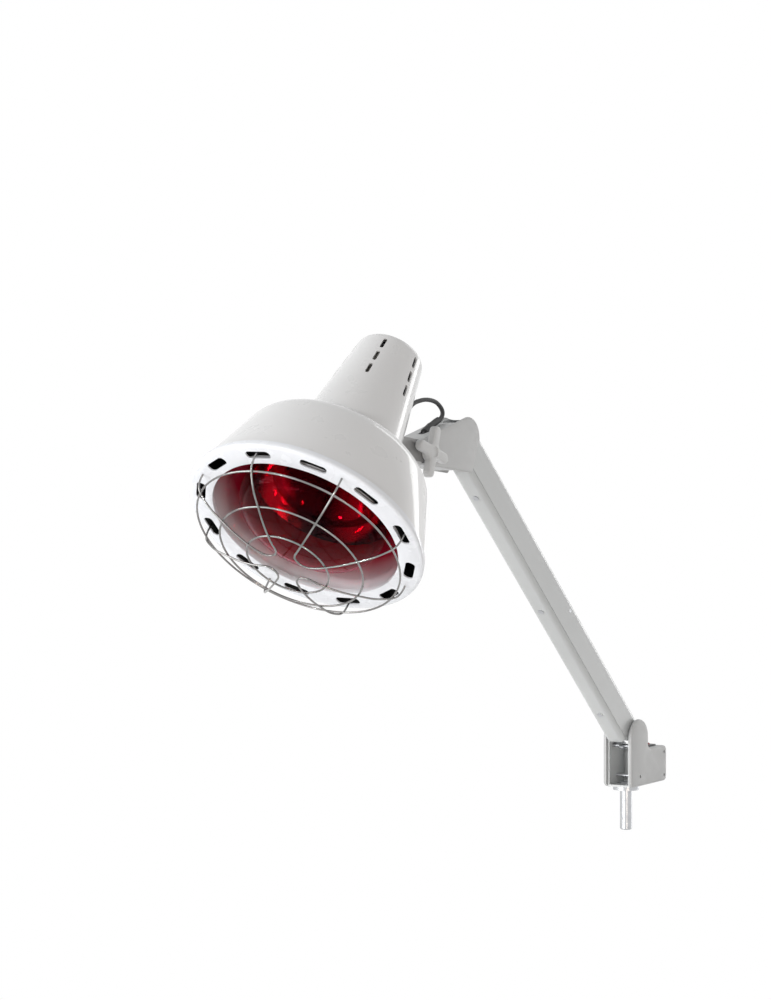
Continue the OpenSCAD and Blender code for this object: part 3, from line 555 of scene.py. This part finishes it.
# %% Neck
NECK_TOP_R = 28.6
NECK_TOP_H = 190.5
NECK_ROUND = 6
WALL = 1.5
SLEEVE_R = NECK_FOOT_R - 3.2
SLEEVE_IN_R = NECK_FOOT_R - 4.7
SLEEVE_LOW = BELL_H - 3
taper = (NECK_FOOT_R - NECK_TOP_R) / (NECK_TOP_H - BELL_H)
neck_lean = math.atan(taper)


def neck_radius(height):
    return NECK_FOOT_R - taper * (height - BELL_H)


crown_h = NECK_TOP_H - NECK_ROUND
crown = (neck_radius(crown_h) - NECK_ROUND / math.cos(neck_lean), crown_h)
crown_from = math.degrees(neck_lean)
neck = turned("neck_enamelled", [(SLEEVE_R, SLEEVE_LOW), (SLEEVE_R, BELL_H),
                                 (NECK_FOOT_R - 0.4, BELL_H), (NECK_FOOT_R, BELL_H + 0.5)]
              + arc(crown, NECK_ROUND, crown_from, 90, 10)
              + [(0, NECK_TOP_H), (0, NECK_TOP_H - WALL)]
              + arc(crown, NECK_ROUND - WALL, 90, crown_from, 8)
              + [(NECK_FOOT_R - WALL, BELL_H + WALL), (SLEEVE_IN_R, BELL_H + WALL),
                 (SLEEVE_IN_R, SLEEVE_LOW)], steps=120)
print("neck leans in by", round(crown_from, 1), "degrees")

# %% [markdown]
# ## The neck's vents and holes
# Six rows of three slots let the heat out. One slot is modelled, copied into every place, and all
# of them are cut at once, with the lead's hole and the two screw holes of the bracket.

# %% Vents of the neck
VENT_ROWS = 6
VENT_FIRST = 23
VENT_HEIGHTS = (144.6, 160.7, 177)
VENT_LEN = 12
VENT_W = 3.2
THROUGH_WALL = 7
LEAD_HOLE = (150, 3.6)
SCREW_HOLES = ((114, 1.5), (129, 1.5))

half_len = (VENT_LEN - VENT_W) / 2
vent_outline = (arc((0, half_len), VENT_W / 2, 0, 180, 8)
                + arc((0, -half_len), VENT_W / 2, 180, 360, 8))
vents = []
for row in range(VENT_ROWS):
    for height in VENT_HEIGHTS:
        vent = traced("vent", vent_outline, -THROUGH_WALL, THROUGH_WALL)
        spin = Matrix.Rotation(math.radians(VENT_FIRST + row * 360 / VENT_ROWS - 90), 4, "Z")
        out = Matrix.Translation((neck_radius(height) * MM, 0, height * MM))
        vent.matrix_world = spin @ out @ Matrix.Rotation(-neck_lean, 4, "Y")
        vents.append(vent)
for height, radius in (LEAD_HOLE, *SCREW_HOLES):
    vents.append(bar("hole", radius, -10, 10, (0, neck_radius(height), height), "X", -90, 24))
cut(neck, join("vents", vents))
wear(neck, white_enamel)
settle(neck, HEAD, "head")
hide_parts("shade_neck")
print("neck has", VENT_ROWS * len(VENT_HEIGHTS), "vents")

# %% [markdown]
# ## The vent ring
# A pressed ring closes the front between the bulb and the bell. Its rolled lip wraps the bell's
# rim, and the lip has softly rounded edges, which catch a thin bright line in the studio light.

# %% Vent ring
MOUTH_R = 79
FACE_H = -2
RING_T = 1.2
LIP_R = 99.9
LIP_IN_R = 98.1
ring = turned("ring_enamelled", [
    (MOUTH_R, -FACE_H), (MOUTH_R, FACE_H + 0.8), (MOUTH_R + 0.3, FACE_H + 0.2),
    (MOUTH_R + 0.9, FACE_H), (97, FACE_H), (98.4, FACE_H + 0.3), (99.4, FACE_H + 1),
    (LIP_R, FACE_H + 2), (LIP_R, FACE_H + 3.4), (99.3, SKIRT_H - 0.3), (98.6, SKIRT_H),
    (LIP_IN_R, SKIRT_H), (LIP_IN_R, FACE_H + RING_T), (MOUTH_R + RING_T, FACE_H + RING_T),
    (MOUTH_R + RING_T, -FACE_H)], steps=180)
print("ring is", 2 * LIP_R, "mm across before its slots are cut")

# %% [markdown]
# ## The ring's slots
# Twelve round-ended slots let cool air in. The cutters stand in a circle and are joined, so one
# cut makes them all. The ring's back then takes the near-black painted shade.

# %% Slots of the ring
RING_SLOTS = 12
SLOT_FIRST = 2.5
SLOT_MID_R = 89
SLOT_LEN = 22
SLOT_W = 8
SLOT_CORNER = 3.4
THROUGH_RING = 5

slot_outline = rounded_box(-SLOT_LEN / 2, SLOT_LEN / 2, -SLOT_W / 2, SLOT_W / 2, SLOT_CORNER, 5)
slots = []
for i in range(RING_SLOTS):
    slot = traced("ring_slot", slot_outline, -THROUGH_RING, THROUGH_RING)
    spin = Matrix.Rotation(math.radians(SLOT_FIRST + i * 360 / RING_SLOTS - 90), 4, "Z")
    slot.matrix_world = (spin @ Matrix.Translation((SLOT_MID_R * MM, 0, FACE_H * MM))
                         @ Matrix.Rotation(math.radians(90), 4, "Y"))
    slots.append(slot)
cut(ring, join("ring_slots", slots))
wear(ring, ring_enamel, painted_inner_shade)
# the ring's back gets the near-black painted shade
for face in ring.data.polygons:
    spot = face.center / MM
    inside_lip = MOUTH_R + 1 < math.hypot(spot.x, spot.y) < LIP_IN_R + 0.1
    if inside_lip and spot.z > FACE_H + RING_T - 0.1:
        face.material_index = 1
settle(ring, HEAD, "head")
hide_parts("vent_ring")

# %% [markdown]
# ## The reflector
# Behind the ring sits a white bowl that throws the heat forward. A few points on its wall are
# enough, because a smooth curve through them gives the rest.

# %% Reflector
BOWL = [(MOUTH_R + 1.4, 3), (MOUTH_R + 0.5, 25), (MOUTH_R - 3, 42), (MOUTH_R - 9, 56),
        (MOUTH_R - 17, 66), (MOUTH_R - 25, 72)]
BOWL_WALL = 1
FLANGE_R = MOUTH_R + 4
FLANGE_LOW = 2.1
FLANGE_HIGH = 3.0


def smoothed(points, steps=4):
    """Puts points on a smooth curve through a few given ones."""
    dense = []
    for i in range(len(points) - 1):
        a, b = points[max(i - 1, 0)], points[i]
        c, d = points[i + 1], points[min(i + 2, len(points) - 1)]
        for k in range(steps):
            f = k / steps
            dense.append(tuple(
                0.5 * (2 * q + (r - p) * f + (2 * p - 5 * q + 4 * r - s) * f * f
                       + (3 * q - p - 3 * r + s) * f ** 3)
                for p, q, r, s in zip(a, b, c, d)))
    return dense + [points[-1]]


inner = smoothed(BOWL)
flange = [(MOUTH_R, FLANGE_LOW), (FLANGE_R, FLANGE_LOW), (FLANGE_R, FLANGE_HIGH)]
bowl = turned("reflector_bowl", flange + [(r + BOWL_WALL, h + 0.4) for r, h in inner]
              + inner[::-1] + [(MOUTH_R, FLANGE_HIGH)], steps=128)
wear(bowl, bowl_enamel, painted_inner_shade)
# the bowl's outside gets the near-black painted shade
for face in bowl.data.polygons:
    outward = Vector((face.center.x, face.center.y, 0))
    if face.normal.dot(outward) > 0 and face.center.z > 4 * MM:
        face.material_index = 1
settle(bowl, HEAD, "head")
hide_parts("reflector")

# %% [markdown]
# ## The bulb
# One glass envelope: a shallow dome in front, its widest line just inside the shade, and a long
# cone that ends in the screw cap. The front is ruby glass. The cone has a mirror on its inside,
# so its faces take the mirror's finish.

# %% Bulb
GLASS = 1.2
MIRROR_FROM = 34
WIDEST_H = 22
DOME_H = 36
DOME = [(0, -14), (19, -13), (37, -10), (49, -5), (55.5, 0), (59.5, 6), (62, 14), (62.5, 22),
        (61.5, 38)]
CONE = [(57, 52), (48, 64), (36, 77), (28, 92), (22, 104), (19.3, 116), (18.3, 126), (18, 139)]

skin = smoothed(DOME + CONE, 5)
lining = [(max(r - GLASS, 0), h + GLASS * max(0.0, (WIDEST_H - h) / DOME_H))
          for r, h in skin]
bulb = turned("ruby_bulb", skin + lining[::-1], steps=128, closed=False)
wear(bulb, ruby_glass, bulb_mirror)
for face in bulb.data.polygons:
    face.material_index = 1 if face.center.z > MIRROR_FROM * MM else 0
settle(bulb, HEAD, "head", 60)
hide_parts("bulb_glass")


# %% [markdown]
# ## Drawing with wire
# A curve with a round bevel is the natural way to draw wire. It is turned into a mesh at once,
# with its ends capped and its faces looking outwards, so that the rest of the script treats it as
# any piece.

# %% Wire
def wire(name, points, radius, closed=False):
    """A round wire along points, as a mesh."""
    curve = bpy.data.curves.new(name, "CURVE")
    curve.dimensions = "3D"
    curve.bevel_depth = radius * MM
    curve.bevel_resolution = 3
    curve.use_fill_caps = True
    spline = curve.splines.new("POLY")
    spline.points.add(len(points) - 1)
    for spot, point in zip(spline.points, points):
        spot.co = (*point, 1)
    spline.use_cyclic_u = closed
    obj = bpy.data.objects.new(name, curve)
    bpy.context.scene.collection.objects.link(obj)
    pick(obj)
    bpy.ops.object.convert(target="MESH")
    bpy.ops.object.mode_set(mode="EDIT")
    bpy.ops.mesh.select_all(action="SELECT")
    bpy.ops.mesh.remove_doubles(threshold=SAME_SPOT)
    bpy.ops.mesh.normals_make_consistent(inside=False)
    bpy.ops.object.mode_set(mode="OBJECT")
    return bpy.context.object


# %% [markdown]
# ## The wire guard
# Three rings of bright wire stand in front of the bulb, each smaller one further out. Four long
# wires come in from the rim, cross the rings, turn back in a loop near the middle and go out
# again 45 degrees further on.

# %% Wire guard
WIRE_R = 0.8
RINGS = [(86.3, -16), (60.7, -29.8), (34.7, -37.1)]
PETALS = 4
PETAL_FIRST = -20
HALF_PETAL = 22.5
TURN_AT = 24.3
PETAL_LOW = -39.3
RING_STEPS = 96
LOOP_STEPS = 16


def polar(radius, degrees, height):
    turn = math.radians(degrees)
    return Vector((radius * math.sin(turn), -radius * math.cos(turn), height)) * MM


def petal_leg(degrees, tip):
    spots = [(91.4, tip), (91.2, -8), (89.5, -14), (85, -19.1), (74, -26.1), (60.7, -31.2),
             (48, -35.4), (34.7, -38.4), (27, PETAL_LOW)]
    return [polar(r, degrees, h) for r, h in smoothed(spots, 4)]


def petal(middle):
    """One looped wire. Its first end stops on the ring's face, and its last goes into a slot."""
    turn_r = TURN_AT * math.sin(math.radians(HALF_PETAL))
    centre = polar(TURN_AT, middle, PETAL_LOW)
    sweep = 180 - 2 * HALF_PETAL
    loop = [centre + polar(turn_r, middle - 90 - HALF_PETAL - sweep * k / LOOP_STEPS, 0)
            for k in range(LOOP_STEPS + 1)]
    return (petal_leg(middle - HALF_PETAL, FACE_H - 0.15) + loop
            + petal_leg(middle + HALF_PETAL, FACE_H + 3.2)[::-1])


wires = [wire("ring", [polar(r, k * 360 / RING_STEPS, h) for k in range(RING_STEPS)], WIRE_R, True)
         for r, h in RINGS]
wires += [wire("petal", petal(PETAL_FIRST + 90 * k), WIRE_R) for k in range(PETALS)]
guard = join("guard_wires", wires)
wear(guard, bright_wire)
settle(guard, HEAD, "head", 60)
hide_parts("wire_guard")

# %% [markdown]
# ## The knuckle cover
# The moulding at the arm's top is two cheeks joined by a sloping web, which is a straight line
# that touches the round lobe and the round nose. Its outline is traced, thickened and rounded.

# %% Knuckle cover
NOSE = (-75, -13.5)
NOSE_R = 11
LOBE_R = 18.5
COVER_HALF = 13
CHEEK_CORNER = (3, -27)
CHEEK_CORNER_R = 3.5
BELLY = (NOSE[0] + 22, NOSE[1] - 8.5)
BELLY_R = 4
UNDERSIDE = -94

web_rise = math.degrees(math.atan2(-NOSE[1], -NOSE[0]))
web_faces = web_rise + math.degrees(math.acos((NOSE_R - LOBE_R) / math.hypot(*NOSE)))
cover_outline = (arc((0, 0), LOBE_R, web_faces, -6, 28)
                 + arc(CHEEK_CORNER, CHEEK_CORNER_R, -20, UNDERSIDE, 6)
                 + arc(BELLY, BELLY_R, UNDERSIDE, UNDERSIDE - 0.5, 1)
                 + arc(NOSE, NOSE_R, UNDERSIDE - 0.5, web_faces - 360, 24))
knuckle = traced("knuckle_moulding", cover_outline, -COVER_HALF, COVER_HALF)
round_edges(knuckle, 1.0, 3, 60)
print("the web's outer face looks", round(web_faces), "degrees round from the Y axis")

# %% [markdown]
# ## The knuckle's hollows
# Two cuts empty the moulding: one that follows the outline a wall's thickness further in, and a
# square one that opens its back for the arm. Then come the round holes for the washers and for
# the lead's bush, which leans back with the lead.

# %% Hollows of the knuckle cover
COVER_IN = 11.7
WEB = 2
WEB_END = -22
WASHER_HOLE_R = 9.5
BUSH_HOLE_R = 3.8
BUSH_SPOT = (0, NOSE[0] + 25.5, NOSE[1] + 19.3)
BUSH_LEAN = 32

hollow_turn = 2 * web_rise - web_faces
hollow_outline = (arc((0, 0), LOBE_R - WEB, web_faces, hollow_turn, 24)
                  + arc(NOSE, NOSE_R - WEB, hollow_turn, web_faces - 360, 12))
opening_outline = [(WEB_END, -50), (60, -50), (60, 30), (WEB_END, 30)]
cut(knuckle, traced("hollow", hollow_outline, -COVER_IN, COVER_IN))
cut(knuckle, traced("opening", opening_outline, -COVER_IN, COVER_IN))
cut(knuckle, bar("washer_hole", WASHER_HOLE_R, -20, 20, (0, *NOSE), "Y", steps=48))
cut(knuckle, bar("bush_hole", BUSH_HOLE_R, -16, 11, BUSH_SPOT, "X", BUSH_LEAN + 90))
wear(knuckle, grey_plastic)
settle(knuckle, KNUCKLE, "knuckle", 35)
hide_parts("knuckle_cover")

# %% [markdown]
# ## The outline of the base
# The lamp's base is a moulded housing in two halves, screwed together from the left. Each half is
# a side panel with a lobe round the arm's pivot, and half of the box that holds the switch. The
# panel's outline is a row of arcs, and straight lines join them.

# %% Outline of the base
PIVOT_H = 52
PANEL_LOBE = 19
FOOT_H = 4
BOX_FRONT = 16.3
BOX_BACK = 60.3
BOX_TOP = 40
CORNER = 5
FILLET = 6

panel_outline = (arc((0, PIVOT_H), PANEL_LOBE, 0, 180, 36)
                 + arc((CORNER - PANEL_LOBE, FOOT_H + CORNER), CORNER, 180, 270, 8)
                 + arc((BOX_BACK - CORNER, FOOT_H + CORNER), CORNER, 270, 360, 8)
                 + arc((BOX_BACK - CORNER, BOX_TOP - CORNER), CORNER, 0, 90, 8)
                 + arc((PANEL_LOBE + FILLET, BOX_TOP + FILLET), FILLET, 270, 180, 8))
print("panel outline has", len(panel_outline), "points")

# %% [markdown]
# ## The halves of the base
# The panel's outer edge is rounded generously, as a moulding that is handled would be, and the
# seam in the middle stays crisp. So only the edge round the outer face is bevelled, and then the
# box is joined on and its room, screw holes, switch window and gland hole are cut.

# %% Halves of the base
PANEL_IN = 12.5
PANEL_OUT = 16
PANEL_ROUND = 2.2
BOX_WALL = 2
SCREW_R = 1.7
SCREW_HEAD_R = 3.2
SCREW_HEAD_IN = 14.2
BASE_SCREWS = [(0, FOOT_H + 10), (BOX_BACK - 6, BOX_TOP - 6), (BOX_BACK - 6, FOOT_H + 6)]
SWITCH_Y = BOX_FRONT + 22
WINDOW_HALF = 9.5
WINDOW_SIDE = 6.5
GLAND_HOLE_R = 6
gland_spot = (0, BOX_BACK, (FOOT_H + BOX_TOP) / 2)


def round_side(obj, side, width):
    """Rounds the edge all round the face that looks along X."""
    pick(obj)
    bpy.context.tool_settings.mesh_select_mode = (False, False, True)
    for face in obj.data.polygons:
        face.select = face.normal.x * side > 0.9
    bpy.ops.object.mode_set(mode="EDIT")
    bpy.ops.mesh.region_to_loop()
    bpy.ops.mesh.bevel(offset=width * MM, segments=5, affect="EDGES")
    bpy.ops.object.mode_set(mode="OBJECT")


for side, node in ((-1, "base_cover_left"), (1, "base_cover_right")):
    half = traced(node + "_moulding", panel_outline, side * PANEL_IN, side * PANEL_OUT)
    round_side(half, side, PANEL_ROUND)
    box = rounded_box(BOX_FRONT, BOX_BACK, FOOT_H, BOX_TOP, CORNER)
    combine(half, traced("shell", box, 0, side * (PANEL_IN + 0.4)), "UNION")
    room = rounded_box(BOX_FRONT + BOX_WALL, BOX_BACK - BOX_WALL, FOOT_H + BOX_WALL,
                       BOX_TOP - BOX_WALL, 3)
    cut(half, traced("room", room, side * -1, side * PANEL_IN))
    for y, z in BASE_SCREWS:
        cut(half, bar("drill", SCREW_R, -20, 20, (0, y, z), "Y"))
        cut(half, bar("drill", SCREW_HEAD_R, -20, -SCREW_HEAD_IN, (0, y, z), "Y"))
    window = rounded_box(SWITCH_Y - WINDOW_HALF, SWITCH_Y + WINDOW_HALF, BOX_TOP - 5, BOX_TOP + 5,
                         0.5)
    cut(half, traced("window", window, -WINDOW_SIDE, WINDOW_SIDE))
    cut(half, bar("gland_hole", GLAND_HOLE_R, -6, 6, gland_spot, "X", steps=40))
    wear(half, grey_plastic)
    settle(half, ROW, "base", 35)
    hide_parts(node)

# %% [markdown]
# ## The tilt knob's cross
# A cross of four lobes clamps the head. Its outline is traced with arcs alone, a half circle
# round each lobe's tip and a hollow one in each valley, so no corner is left. It is thickened and
# given soft edges, and the lobes shine along their rims.

# %% Cross of the tilt knob
KNOB_FOOT = 15.5
KNOB_STEP = 2
KNOB_T = 9
LOBE_W = 9
KNOB_REACH = 22.5
VALLEY_R = 4.5
knob_top = KNOB_FOOT + KNOB_T
lobe_at = KNOB_REACH - LOBE_W / 2
valley_at = LOBE_W / 2 + VALLEY_R

cross = []
for k in range(4):
    quarter = Matrix.Rotation(math.radians(90 * k), 2)
    tip = arc((lobe_at, 0), LOBE_W / 2, -90, 90, 14)
    valley = arc((valley_at, valley_at), VALLEY_R, 265, 185, 6)
    cross += [tuple(quarter @ Vector(p)) for p in tip + valley]
knob = traced("knob_cross", cross, KNOB_FOOT + KNOB_STEP, knob_top)
round_edges(knob, 1.6, 5, 50)
print("cross reaches", KNOB_REACH, "mm from the bolt")


# %% [markdown]
# ## The tilt knob's hub
# A turned hub lifts the cross off the head, and a shallow dimple marks its middle. Both are spun
# and then laid along the bolt, which is the X axis. The knob is turned to where it was left in
# the photograph.

# %% Hub of the tilt knob
def along_x(name, outline, steps=48):
    """A turned piece, laid along the X axis."""
    obj = turned(name, outline, steps, closed=False)
    obj.matrix_world = Matrix.Rotation(math.radians(90), 4, "Y")
    apply_place(obj)
    return obj


KNOB_TURN = math.radians(24)
hub_r = valley_at * math.sqrt(2) - VALLEY_R - 0.4
hub_top = KNOB_FOOT + KNOB_STEP + 1
DIMPLE_R = 4.4
dimple_low = knob_top - 0.9
hub = along_x("knob_hub", [(0, KNOB_FOOT), (hub_r - 0.5, KNOB_FOOT), (hub_r, KNOB_FOOT + 0.5),
                           (hub_r, hub_top), (0, hub_top)])
cut(knob, along_x("knob_dimple", [(0, dimple_low), (DIMPLE_R, dimple_low),
                                  (DIMPLE_R + 1, knob_top + 1), (0, knob_top + 1)]))
knob = join("tilt_knob_moulding", [knob, hub])
knob.matrix_world = Matrix.Rotation(KNOB_TURN, 4, "X")
wear(knob, pale_plastic)
settle(knob, HEAD @ Matrix.Translation((0, TILT_BEHIND, TILT_ABOVE)), "knob")
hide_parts("tilt_knob")

# %% [markdown]
# ## The lead
# A dark lead leaves the neck through its grommet, loops over and goes down into the knuckle. It
# crosses the tilt joint.

# %% Lead
LEAD_R = 1.9
ROUTE = [(-37, 32), (-30, 26), (-26, 23), (-20, 23), (-12.5, 29), (2.5, 40.5), (16, 44.5),
         (28, 45.5), (40, 44), (48, 40), (51.5, 35.5), (49.5, 31), (41, 27.2), (31, 22.6),
         (24, 18.5), (19.5, 13.5), (20, 8), (26, 4), (38, 3), (50, 3)]
tilt = pivot["head_tilt"]
lead_path = [tilt + Vector((0, y, z)) * MM for y, z in smoothed(ROUTE, 6)]
lead = wire("head_lead_cable", lead_path, LEAD_R)
wear(lead, dark_rubber)
pick(lead)
bpy.ops.object.shade_smooth_by_angle(angle=math.radians(60))
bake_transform(lead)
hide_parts("head_lead")

# %% [markdown]
# ## The stage
# The photograph has a plain white ground. The floor lies where a stand would put it, well below
# the lamp. What the camera sees of it, straight or in glass and gloss, is plain white, and all
# other rays see a pale floor that holds the shadow.

# %% Stage
FLOOR_Z = -0.75
FLOOR_SIZE = 30
WHITE = (1, 1, 1, 1)


def plain_rays(tree):
    """Is 1 for camera, glossy and transmission rays, and 0 for the others."""
    path = tree.nodes.new("ShaderNodeLightPath")
    seen = path.outputs["Is Camera Ray"]
    for kind in ("Is Glossy Ray", "Is Transmission Ray"):
        either = tree.nodes.new("ShaderNodeMath")
        either.operation = "MAXIMUM"
        tree.links.new(seen, either.inputs[0])
        tree.links.new(path.outputs[kind], either.inputs[1])
        seen = either.outputs[0]
    return seen


bpy.ops.mesh.primitive_plane_add(size=FLOOR_SIZE, location=(0, 0, FLOOR_Z))
floor = bpy.context.object
floor.name = "floor"
paper = Finish("white_paper", Base_Color=(0.9, 0.9, 0.9, 1), Roughness=0.9)
plain = paper.node("ShaderNodeEmission", inputs={"Color": WHITE, "Strength": 1.0})
mixed = paper.node("ShaderNodeMixShader", inputs={
    0: Value(paper, plain_rays(paper.tree)), 1: Value(paper, paper.shader.outputs["BSDF"]),
    2: plain})
paper.tree.links.new(mixed.socket, paper.tree.nodes["Material Output"].inputs["Surface"])
wear(floor, paper)


# %% [markdown]
# ## The lamps
# A large soft light stands to the left of the camera, and a low wide one lifts the undersides. A
# tall thin one behind draws the white stripe down the bell and the neck. Two small windows in
# front leave their sparks in the bulb.

# %% Lamps
def softbox(name, place, width, height, power, colour=(1, 1, 1)):
    """A rectangular light that looks at the middle of the rim."""
    bpy.ops.object.light_add(type="AREA", location=place)
    light = bpy.context.object
    light.name = name
    light.data.shape = "RECTANGLE"
    light.data.size = width
    light.data.size_y = height
    light.data.energy = power
    light.data.color = colour
    light.rotation_euler = (rim_centre - Vector(place)).to_track_quat("-Z", "Y").to_euler()
    print("light", name, power, "W")


WARM = (1.0, 0.86, 0.74)
softbox("key_left", (-2.2, -2.6, 1.0), 1.6, 1.8, 44)
softbox("fill_low", (-0.7, -2.3, -0.45), 1.4, 0.5, 9)
softbox("strip_back", (0.55, 1.75, 0.9), 0.42, 2.8, 10)
softbox("window_front", rim_centre + Vector((-0.15, -2.2, 0.43)), 0.15, 0.15, 10)
softbox("window_right", rim_centre + Vector((1.75, -1.3, -0.33)), 0.10, 0.30, 6, WARM)

# %% [markdown]
# ## The world
# The world gives the even fill of a white studio. What the camera sees of it is plain white, as
# on the floor, so both make one ground without a horizon.

# %% World
WORLD_FILL = 0.42
world = bpy.data.worlds.new("studio")
bpy.context.scene.world = world
world.use_nodes = True
tree = world.node_tree
fill = tree.nodes["Background"]
ground = tree.nodes.new("ShaderNodeBackground")
for background, strength in ((fill, WORLD_FILL), (ground, 1.0)):
    background.inputs["Color"].default_value = WHITE
    background.inputs["Strength"].default_value = strength
either = tree.nodes.new("ShaderNodeMixShader")
for place, output in enumerate((plain_rays(tree), fill.outputs[0], ground.outputs[0])):
    tree.links.new(output, either.inputs[place])
tree.links.new(either.outputs[0], tree.nodes["World Output"].inputs["Surface"])
bpy.context.scene.view_settings.view_transform = "Standard"
print("world fill", WORLD_FILL)
